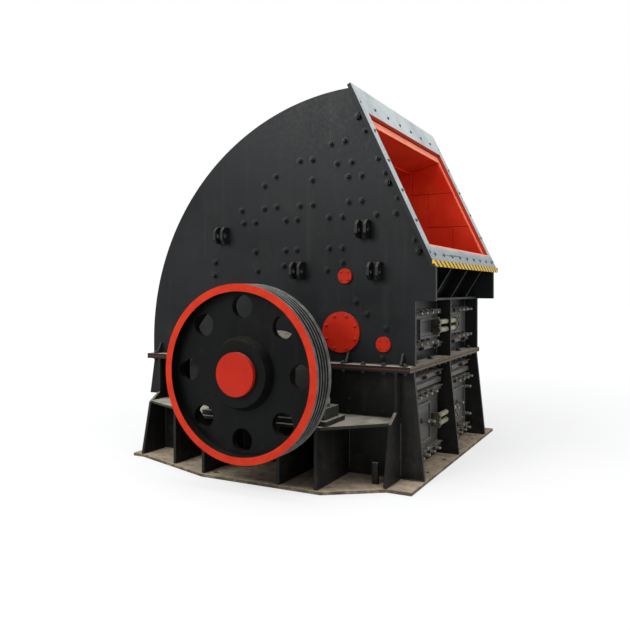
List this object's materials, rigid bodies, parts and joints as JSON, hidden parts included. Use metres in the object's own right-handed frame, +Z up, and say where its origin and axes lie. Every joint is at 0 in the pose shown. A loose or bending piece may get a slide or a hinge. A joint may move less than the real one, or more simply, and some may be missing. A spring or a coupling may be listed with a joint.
{
  "type": "hammer crusher",
  "caption": "Heavy hammer crusher with a curved welded housing, leaning lined feed opening, bolted doors and a driven rotor with swing hammers.",
  "frame": {"origin": "on the ground under the centre of the bounding box", "axes": "+X towards the feed opening, +Y along the rotor shaft away from the belt pulley, +Z up"},
  "size_m": [3.21, 4.23, 3.5786],
  "materials": {
    "paint_black": "satin black enamel with dust",
    "paint_red": "satin red enamel",
    "lining_red": "matte red primer on cast linings",
    "paint_grey": "pale grey enamel",
    "bare_steel": "machined steel, slightly oiled",
    "dark_steel": "rough cast steel",
    "cast_iron": "painted casting"
  },
  "bodies": {
    "housing": {"adjuster_lower": "bare_steel", "adjuster_upper": "bare_steel", "back_shell": "paint_black", "base_front": "paint_black", "base_left": "paint_black", "base_rear": "paint_black", "base_right": "paint_black", "bearing_left": "cast_iron", "bearing_right": "cast_iron", "bearing_soles": "paint_black", "benches": "paint_black", "breaker_wall": "lining_red", "chute_floor": "paint_black", "doors_front_lower": "paint_black", "doors_front_upper": "paint_black", "doors_rear": "paint_black", "feed_frame": "paint_grey", "feed_lip": "paint_grey", "grate": "dark_steel", "gussets_left": "paint_black", "gussets_right": "paint_black", "lifting_lugs": "paint_black", "liner_ceiling": "lining_red", "liner_left": "lining_red", "liner_right": "lining_red", "lower_flange": "paint_black", "lower_wall_front": "paint_black", "lower_wall_left": "paint_black", "lower_wall_rear": "paint_black", "lower_wall_right": "paint_black", "rib_front_lower": "paint_black", "rib_front_upper": "paint_black", "rib_rear": "paint_black", "shaft_seals": "paint_black", "side_covers": "paint_red", "side_plate_left": "paint_black", "side_plate_right": "paint_black", "upper_flange": "paint_black", "upper_wall_front": "paint_black"},
    "rotor": {"flywheel_right": "paint_black", "hammer_pins": "bare_steel", "hammers": "dark_steel", "hub_caps": "paint_red", "pulley_left": "paint_black", "rotor_discs": "dark_steel", "shaft": "bare_steel"}
  },
  "joints": [
    {"name": "rotor_spin", "type": "hinge", "parent": "housing", "child": "rotor", "pos_m": [0.195, 0, 1.005], "axis": [0, 1, 0], "continuous": true}
  ]
}
